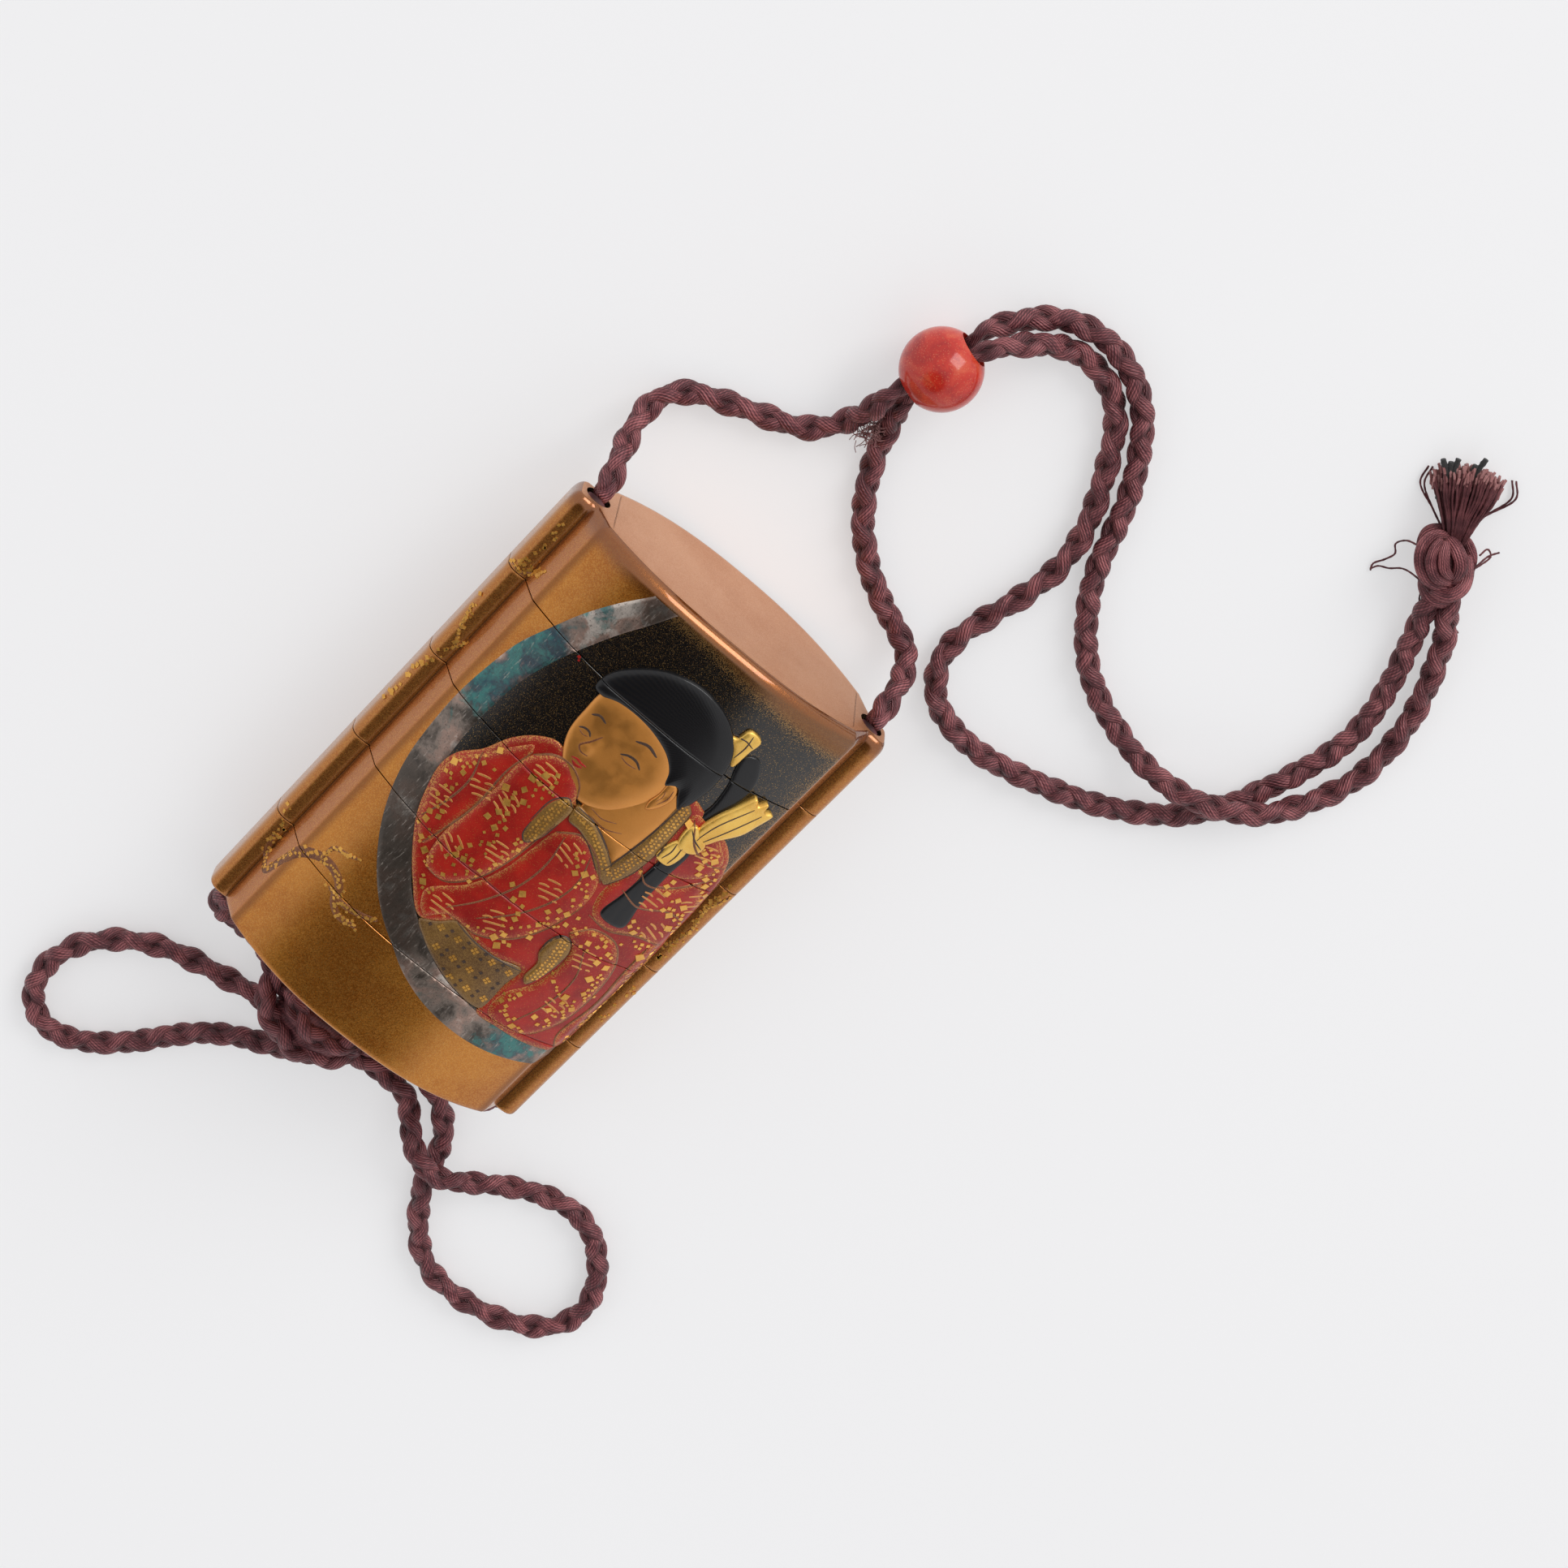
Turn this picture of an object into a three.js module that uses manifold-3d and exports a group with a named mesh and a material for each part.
// An inro: a lacquered case of a lid and four stacked compartments, threaded on one silk
// cord with a bead, a bow under the base and a tasselled end knot.
// Millimetres. The case lies on its back: +Y runs from base to lid, +X across the case,
// +Z out of its decorated front. The origin is under the middle of the case, on the table.

import * as THREE from 'three';
import { mergeVertices } from 'three/addons/utils/BufferGeometryUtils.js';
import Module from 'manifold-3d';

const wasm = await Module();
wasm.setup();

// ---------------------------------------------------------------- driving dimensions

const CASE_LENGTH = 84;          // base edge to lid edge, before the ends bow out
const END_BOW = 0.9;             // how far each end bows out at its middle
const CREST_HEIGHT = 13.7;       // front crest above the middle plane
const BACK_FLAT_DEPTH = 0.2;     // small flat on the back, so that the case lies still
const CREASE_X = 24;             // long edge between the front and its side
const CREASE_HEIGHT = 7.3;
const CREST_POWER = 2.5;         // fullness of the crowned front and back

const RUNNER_REACH = 29.2;       // half of the width over the two cord runners
const RUNNER_HALF_HEIGHT = 3.3;
const RUNNER_VALLEY_X = 25.7;    // where a runner meets the side of the case
const CHANNEL_X = 25.7;          // axis of the cord channel in each runner
const CHANNEL_RADIUS = 2.05;

const COMPARTMENT_HEIGHT = 17.6;
const TOP_SEAM_Y = 26.9;         // seam between the lid and the first compartment
const SEAM_GAP = 0.3;
const SHOULDER_RADIUS = 1.9;     // rounded shoulder round the lid's top
const BASE_EDGE_RADIUS = 0.6;

const SHELL_WALL = 1.6;          // outer wall, where a riser of the piece below enters
const FULL_WALL = 2.8;           // outer wall and riser together
const RISER_HEIGHT = 4.5;
const RISER_CLEARANCE = 0.3;
const FLOOR_THICKNESS = 1.4;
const TOP_THICKNESS = 2.4;

const CORD_DIAMETER = 3.6;
const CORD_SLACK = 0.3;          // a plain cord solid is this much thinner than its silk
const BEAD_DIAMETER = 13;
const BEAD_HOLE_RADIUS = 2.7;

const MIDDLE_Z = CREST_HEIGHT - BACK_FLAT_DEPTH;   // middle plane above the table
const HALF_LENGTH = CASE_LENGTH / 2;
const CORD_GAP = 0.3;

// ---------------------------------------------------------------- materials

const goldLacquer = new THREE.MeshStandardMaterial({ color: 0xa06a2c, roughness: 0.35, metalness: 0.6 });
const copperLacquer = new THREE.MeshStandardMaterial({ color: 0xbe8c6e, roughness: 0.45, metalness: 0.5 });
const silkCord = new THREE.MeshStandardMaterial({ color: 0x5a2d37, roughness: 0.7, metalness: 0 });
const redBead = new THREE.MeshStandardMaterial({ color: 0xc8281e, roughness: 0.3, metalness: 0 });

// ---------------------------------------------------------------- solids and booleans

/** A closed three.js geometry as a manifold solid. */
function solidOf(geometry) {
  const bare = geometry.clone();
  bare.deleteAttribute('normal');
  bare.deleteAttribute('uv');
  const merged = mergeVertices(bare, 1e-4);
  return new wasm.Manifold(new wasm.Mesh({
    numProp: 3,
    vertProperties: Float32Array.from(merged.attributes.position.array),
    triVerts: Uint32Array.from(merged.index.array),
  }));
}

/** A manifold solid as a three.js geometry. */
function geometryOf(solid) {
  const mesh = solid.getMesh();
  const geometry = new THREE.BufferGeometry();
  geometry.setAttribute('position', new THREE.BufferAttribute(Float32Array.from(mesh.vertProperties), 3));
  geometry.setIndex(new THREE.BufferAttribute(Uint32Array.from(mesh.triVerts), 1));
  const shaded = geometry.toNonIndexed();
  shaded.computeVertexNormals();
  return shaded;
}

/** The half height of a crowned section at x, from its edge height up to its crest. */
function crown(x, halfWidth, edgeHeight) {
  const rise = CREST_HEIGHT - CREASE_HEIGHT;
  return edgeHeight + rise * (1 - Math.abs(x / halfWidth) ** CREST_POWER);
}

/** Stations across a width, closer together near its two ends. */
function stations(halfWidth, count) {
  return Array.from({ length: count + 1 }, (_, i) => -halfWidth * Math.cos((Math.PI * i) / count));
}

/** Upper half of the outer section with both runners, from -X to +X, drawn in by inset. */
function outerSection(inset) {
  const runner = [
    [RUNNER_REACH, 1.7, 0.5],
    [RUNNER_REACH - 0.35, 2.6, 0.5],
    [RUNNER_REACH - 1.2, RUNNER_HALF_HEIGHT - 0.1, 0.5],
    [RUNNER_VALLEY_X + 0.2, RUNNER_HALF_HEIGHT, 0.6],
  ];
  const left = runner.map(([x, z, ease]) => [-x, z, ease]);
  const right = [...runner].reverse();
  const crest = stations(CREASE_X, 26).map((x) => [x, crown(x, CREASE_X, CREASE_HEIGHT), 1]);
  const points = [...left, ...crest, ...right];
  return points.map(([x, z, ease], i) => {
    const before = points[Math.max(i - 1, 0)];
    const after = points[Math.min(i + 1, points.length - 1)];
    const alongX = after[0] - before[0];
    const alongZ = after[1] - before[1];
    const length = Math.hypot(alongX, alongZ);
    return [x + (inset * ease * alongZ) / length, z - (inset * ease * alongX) / length];
  });
}

/** Upper half of an inner section: the body's outline without runners, a wall further in. */
function innerSection(wall) {
  const halfWidth = CREASE_X - wall;
  return stations(halfWidth, 16).map((x) => [x, crown(x, halfWidth, CREASE_HEIGHT - wall)]);
}

/** How far an end bows out at x. */
function bow(x) {
  return END_BOW * Math.max(0, 1 - (x / CREASE_X) ** 2);
}

/**
 * A solid through rings along Y. Each ring has a section (upper half, mirrored below the
 * middle plane), a y and how much of the end bow it takes (+1 at the lid, -1 at the base).
 */
function loft(rings, flatBack = false) {
  const count = rings[0].section.length;
  const floorZ = flatBack ? -MIDDLE_Z : -Infinity;
  const positions = [];
  for (const { section, y, bowShare = 0 } of rings) {
    for (const [x, z] of section) {
      positions.push(x, y + bowShare * bow(x), z);
    }
    for (const [x, z] of [...section].reverse()) {
      positions.push(x, y + bowShare * bow(x), Math.max(-z, floorZ));
    }
  }
  const around = 2 * count;
  const indices = [];
  const quad = (a, b, c, d) => indices.push(a, b, c, a, c, d);
  for (let ring = 0; ring + 1 < rings.length; ring += 1) {
    for (let i = 0; i < around; i += 1) {
      const next = (i + 1) % around;
      const base = ring * around;
      quad(base + i, base + next, base + around + next, base + around + i);
    }
  }
  const last = (rings.length - 1) * around;
  for (let i = 0; i + 1 < count; i += 1) {
    const mirror = around - 1 - i;
    quad(i, mirror, mirror - 1, i + 1);
    quad(last + i, last + i + 1, last + mirror - 1, last + mirror);
  }
  const geometry = new THREE.BufferGeometry();
  geometry.setAttribute('position', new THREE.Float32BufferAttribute(positions, 3));
  geometry.setIndex(indices);
  geometry.translate(0, 0, MIDDLE_Z);
  return geometry;
}

/** A straight block of an inner section between two heights. */
function innerBlock(wall, bottom, top) {
  const section = innerSection(wall);
  return solidOf(loft([{ section, y: bottom }, { section, y: top }]));
}

/** Rings of a rounded end: the section draws in along a quarter circle. */
function roundedEnd(edgeY, radius, direction) {
  const steps = 4;
  return Array.from({ length: steps + 1 }, (_, i) => {
    const angle = (i / steps) * (Math.PI / 2);
    return {
      section: outerSection(radius * (1 - Math.cos(angle))),
      y: edgeY - direction * radius * (1 - Math.sin(angle)),
      bowShare: direction,
    };
  });
}

/** Cut the two cord channels through a piece of the case. */
function withChannels(solid) {
  let cut = solid;
  for (const side of [-1, 1]) {
    const bore = new THREE.CylinderGeometry(CHANNEL_RADIUS, CHANNEL_RADIUS, CASE_LENGTH + 10, 20);
    bore.translate(side * CHANNEL_X, 0, MIDDLE_Z);
    cut = cut.subtract(solidOf(bore));
  }
  return cut;
}

/** The ring that stands up from a compartment into the piece above it. */
function riser(seamY) {
  const outer = innerBlock(SHELL_WALL + RISER_CLEARANCE, seamY - 1.5, seamY + RISER_HEIGHT);
  return outer.subtract(innerBlock(FULL_WALL, seamY - 3, seamY + RISER_HEIGHT + 1));
}

/** The recess in a piece that takes the riser of the piece below. */
function riserRecess(seamY) {
  return innerBlock(SHELL_WALL, seamY - 1, seamY + RISER_HEIGHT + RISER_CLEARANCE);
}

// ---------------------------------------------------------------- lid and compartments

const HALF_SEAM = SEAM_GAP / 2;
const seams = [0, 1, 2, 3].map((i) => TOP_SEAM_Y - i * COMPARTMENT_HEIGHT);

/** The lid: a closed, bowed top with a rounded shoulder, open below. */
function lid() {
  const seamY = seams[0];
  const start = { section: outerSection(0), y: seamY + HALF_SEAM };
  const body = solidOf(loft([start, ...roundedEnd(HALF_LENGTH, SHOULDER_RADIUS, 1)], true));
  const room = innerBlock(FULL_WALL, seamY - 1, HALF_LENGTH - TOP_THICKNESS);
  return withChannels(body.subtract(riserRecess(seamY)).subtract(room));
}

/** A middle compartment: floor above its recess, walls and a riser. */
function middleCase(upperSeam, lowerSeam) {
  const section = outerSection(0);
  const rings = [{ section, y: lowerSeam + HALF_SEAM }, { section, y: upperSeam - HALF_SEAM }];
  const floorTop = lowerSeam + RISER_HEIGHT + RISER_CLEARANCE + FLOOR_THICKNESS;
  const room = innerBlock(FULL_WALL, floorTop, upperSeam + RISER_HEIGHT + 1);
  const body = solidOf(loft(rings, true)).subtract(riserRecess(lowerSeam));
  return withChannels(body.subtract(room).add(riser(upperSeam)));
}

/** The lowest compartment: its floor is the case's bowed base. */
function baseCase(upperSeam) {
  const end = roundedEnd(-HALF_LENGTH, BASE_EDGE_RADIUS, -1).reverse();
  const top = { section: outerSection(0), y: upperSeam - HALF_SEAM };
  const room = innerBlock(FULL_WALL, -HALF_LENGTH + FLOOR_THICKNESS, upperSeam + RISER_HEIGHT + 1);
  return withChannels(solidOf(loft([...end, top], true)).subtract(room).add(riser(upperSeam)));
}

// ---------------------------------------------------------------- the cord and what is on it

// Routes are lists of [x, y, z], in order from the case outwards.
const LOW = CORD_DIAMETER / 2 + 0.1;   // a cord lying on the table

const BEAD_CENTRE = [-1.7, 86.7, BEAD_DIAMETER / 2 + 0.05];
const BEAD_AXIS = new THREE.Vector3(0.243, 0.97, 0).normalize();

const upperLeft = [
  [-25.7, 42.6, 13.5], [-25.9, 44.7, 13.1], [-26.6, 46.9, 11.2], [-27.2, 49.0, 8.3],
  [-27.6, 51.4, 5.6], [-27.5, 54.4, 3.5], [-26.2, 57.2, 2.3], [-23.4, 59.5, LOW],
  [-20.1, 61.0, LOW], [-15.3, 63.0, LOW], [-11.0, 64.7, LOW], [-8.0, 66.7, LOW],
  [-6.0, 69.7, 2.4], [-5.1, 73.2, 4.4], [-4.8, 76.4, 6.6], [-4.7, 79.6, 7.7],
];
const upperRight = [
  [25.7, 42.6, 13.5], [25.7, 44.4, 13.1], [25.6, 46.2, 11.4], [25.7, 47.9, 8.8],
  [25.3, 49.5, 6.1], [24.2, 50.8, 4.0], [22.0, 51.7, 2.7], [19.4, 52.5, LOW],
  [16.8, 53.6, LOW], [13.5, 55.3, LOW], [10.4, 57.5, LOW], [7.3, 60.2, LOW],
  [4.7, 63.4, LOW], [2.6, 66.8, LOW], [0.9, 70.4, LOW], [-0.3, 73.8, 2.8],
  [-1.3, 76.8, 4.2], [-2.0, 79.2, 5.1],
];
const outerA = [
  [0.9, 93.7, 8.2], [2.4, 95.2, 7.1], [5.0, 97.4, 5.7], [8.0, 99.1, 3.9],
  [11.2, 100.1, 2.3], [14.4, 100.3, LOW], [17.6, 99.7, LOW], [20.6, 98.1, LOW],
  [23.2, 95.6, LOW], [25.2, 92.6, LOW], [27.3, 88.9, LOW], [29.4, 84.8, LOW],
  [31.3, 79.6, LOW], [32.0, 73.9, LOW], [31.2, 67.5, LOW], [29.7, 61.4, LOW],
  [28.9, 56.1, LOW], [29.6, 52.2, LOW], [31.6, 49.0, LOW], [34.6, 46.7, LOW],
  [38.2, 45.6, LOW], [43.0, 45.3, LOW], [48.4, 46.2, LOW], [54.2, 47.9, LOW],
  [60.2, 50.1, LOW], [66.0, 53.2, LOW], [71.0, 57.0, LOW], [74.3, 60.8, LOW],
  [76.6, 65.0, LOW], [78.6, 70.4, LOW], [80.3, 76.2, LOW], [81.4, 82.0, LOW],
  [81.2, 87.6, LOW], [79.6, 93.8, LOW], [77.2, 99.8, 2.2], [74.8, 104.9, 3.2],
];
const outerB = [
  [-0.7, 94.1, 4.6], [0.7, 96.3, 3.6], [3.1, 99.1, 2.5], [6.0, 101.7, LOW],
  [9.0, 103.3, LOW], [12.6, 104.1, LOW], [16.5, 103.8, LOW], [20.3, 102.5, LOW],
  [23.7, 100.4, LOW], [26.5, 97.6, LOW], [28.7, 94.6, LOW], [31.0, 90.9, LOW],
  [33.0, 86.6, LOW], [34.8, 81.6, LOW], [37.0, 76.6, LOW], [40.6, 71.4, LOW],
  [45.2, 66.8, LOW], [50.6, 63.6, LOW], [56.2, 61.7, LOW], [61.0, 60.9, 2.9],
  [65.4, 61.2, 4.6], [69.8, 62.3, 5.8], [73.9, 64.0, 6.1], [77.4, 66.0, 6.0],
  [80.4, 68.4, 5.2], [83.1, 71.4, 3.6], [85.5, 75.2, 2.2], [86.9, 80.0, LOW],
  [86.9, 85.4, LOW], [86.0, 91.0, LOW], [84.2, 96.2, LOW], [81.9, 100.8, 2.3],
  [79.4, 104.9, 3.0],
];
const baseLeft = [
  [-25.7, -42.6, 13.5], [-25.6, -44.5, 13.0], [-24.3, -46.6, 11.3], [-21.6, -48.1, 8.8],
  [-18.0, -49.4, 6.5], [-14.0, -51.0, 4.9], [-10.4, -53.4, 4.3],
];
const baseRight = [
  [25.7, -42.6, 13.5], [25.5, -44.5, 12.8], [23.9, -46.3, 10.7], [20.9, -47.2, 7.5],
  [17.2, -47.8, 4.6], [13.2, -48.6, 3.0], [9.2, -50.4, 3.0],
];
const bowLeft = [
  [-9.4, -59.8, 2.4], [-11.8, -60.6, LOW], [-14.6, -61.1, LOW], [-18.0, -61.7, LOW],
  [-22.4, -62.7, LOW], [-27.0, -64.6, LOW], [-31.5, -68.0, LOW], [-34.6, -72.2, LOW],
  [-36.0, -77.2, LOW], [-35.3, -82.2, LOW], [-32.6, -85.8, LOW], [-28.8, -87.0, LOW],
  [-24.5, -85.6, LOW], [-20.6, -82.6, LOW], [-16.9, -78.4, LOW], [-13.8, -74.2, LOW],
  [-10.2, -70.4, LOW], [-5.6, -67.3, LOW],
];
const bowRight = [
  [9.8, -57.4, 2.4], [13.2, -57.6, LOW], [16.6, -57.6, LOW], [19.4, -58.5, 2.1],
  [21.7, -60.4, 3.2], [24.0, -62.3, 4.8], [26.9, -63.7, 5.8], [30.2, -64.0, 6.0],
  [33.6, -63.2, 4.9], [37.1, -61.8, 3.2], [40.9, -59.9, 2.1], [44.9, -57.9, LOW],
  [48.8, -56.6, LOW], [52.7, -56.5, LOW], [56.4, -57.8, LOW], [59.7, -60.4, LOW],
  [62.4, -63.8, LOW], [64.1, -67.7, LOW], [64.2, -71.8, LOW], [62.6, -75.4, LOW],
  [59.6, -78.0, LOW], [55.6, -79.9, LOW], [51.0, -81.0, LOW], [46.0, -81.3, LOW],
  [41.4, -80.3, LOW], [37.5, -77.7, LOW], [34.3, -74.1, LOW], [31.8, -70.3, LOW],
  [30.1, -66.4, LOW], [28.9, -62.3, LOW], [26.6, -58.4, LOW], [23.4, -55.6, LOW],
  [19.4, -53.7, LOW], [15.0, -53.1, LOW], [11.4, -53.6, 2.4],
];

/** A cord section: a plain polygon about its own centre. */
function cordSection(diameter) {
  const sides = 8;
  const shape = new THREE.Shape();
  for (let i = 0; i < sides; i += 1) {
    const angle = ((i + 0.5) / sides) * 2 * Math.PI;
    const corner = [(diameter / 2) * Math.cos(angle), (diameter / 2) * Math.sin(angle)];
    if (i === 0) {
      shape.moveTo(...corner);
    } else {
      shape.lineTo(...corner);
    }
  }
  shape.closePath();
  return shape;
}

/** A stretch of free cord along a route, with a step about every three diameters. */
function cordRun(route) {
  const path = new THREE.CatmullRomCurve3(route.map((point) => new THREE.Vector3(...point)), false, 'centripetal');
  const steps = Math.max(3, Math.round(path.getLength() / (2.5 * CORD_DIAMETER)));
  return new THREE.ExtrudeGeometry(cordSection(CORD_DIAMETER - CORD_SLACK), {
    steps,
    bevelEnabled: false,
    extrudePath: path,
  });
}

/** The straight stretch of cord inside a runner's channel. */
function channelCord() {
  const radius = (CORD_DIAMETER - CORD_SLACK) / 2;
  return new THREE.CylinderGeometry(radius, radius, CASE_LENGTH - 2 * CORD_GAP, 8);
}

/** The bead: a drilled ball. */
function bead() {
  const ball = solidOf(new THREE.SphereGeometry(BEAD_DIAMETER / 2, 28, 18));
  const drill = solidOf(new THREE.CylinderGeometry(BEAD_HOLE_RADIUS, BEAD_HOLE_RADIUS, BEAD_DIAMETER + 2, 16));
  return geometryOf(ball.subtract(drill));
}

/** A round lump of knotted cord, given its three half sizes. */
function knotLump(halfX, halfY, halfZ) {
  const lump = new THREE.SphereGeometry(1, 16, 10);
  lump.scale(halfX, halfY, halfZ);
  return lump;
}

/** The cut threads past the end knot: a flattened cone that opens outwards. */
function tasselThreads(length, neckWidth, endWidth, thickness) {
  const threads = new THREE.CylinderGeometry(endWidth / 2, neckWidth / 2, length, 12);
  threads.scale(1, 1, thickness / endWidth);
  return threads;
}

// ---------------------------------------------------------------- the object

const inro = new THREE.Group();

/** Add a named mesh to the object and hand it back for placing. */
function place(name, geometry, material) {
  const mesh = new THREE.Mesh(geometry, material);
  mesh.name = name;
  inro.add(mesh);
  return mesh;
}

place('lid', geometryOf(lid()), copperLacquer);
place('case_1', geometryOf(middleCase(seams[0], seams[1])), goldLacquer);
place('case_2', geometryOf(middleCase(seams[1], seams[2])), goldLacquer);
place('case_3', geometryOf(middleCase(seams[2], seams[3])), goldLacquer);
place('case_4', geometryOf(baseCase(seams[3])), goldLacquer);

place('cord_channel_left', channelCord(), silkCord).position.set(-CHANNEL_X, 0, MIDDLE_Z);
place('cord_channel_right', channelCord(), silkCord).position.set(CHANNEL_X, 0, MIDDLE_Z);

const freeCords = {
  cord_upper_left: upperLeft,
  cord_upper_right: upperRight,
  cord_outer_a: outerA,
  cord_outer_b: outerB,
  cord_base_left: baseLeft,
  cord_base_right: baseRight,
  cord_bow_left: bowLeft,
  cord_bow_right: bowRight,
};
for (const [name, route] of Object.entries(freeCords)) {
  place(name, cordRun(route), silkCord);
}

const beadTurn = new THREE.Quaternion().setFromUnitVectors(new THREE.Vector3(0, 1, 0), BEAD_AXIS);
const beadMesh = place('bead', bead(), redBead);
beadMesh.position.set(...BEAD_CENTRE);
beadMesh.quaternion.copy(beadTurn);

const pairRadius = BEAD_HOLE_RADIUS - CORD_GAP;
const pairInBead = new THREE.CylinderGeometry(pairRadius, pairRadius, BEAD_DIAMETER, 8);
const pairMesh = place('cord_in_bead', pairInBead, silkCord);
pairMesh.position.set(...BEAD_CENTRE);
pairMesh.quaternion.copy(beadTurn);

place('bow_knot', knotLump(8.6, 5.6, 4.2), silkCord).position.set(0.2, -59.2, 4.3);

const endKnot = place('end_knot', knotLump(4.4, 5.8, 4.2), silkCord);
endKnot.position.set(71.6, 112.4, 4.3);
endKnot.rotation.z = THREE.MathUtils.degToRad(43);

const tassel = place('tassel', tasselThreads(10.6, 4.2, 12, 3.4), silkCord);
tassel.position.set(65.42, 121.12, 1.9);
tassel.rotation.z = THREE.MathUtils.degToRad(32);

export default inro;
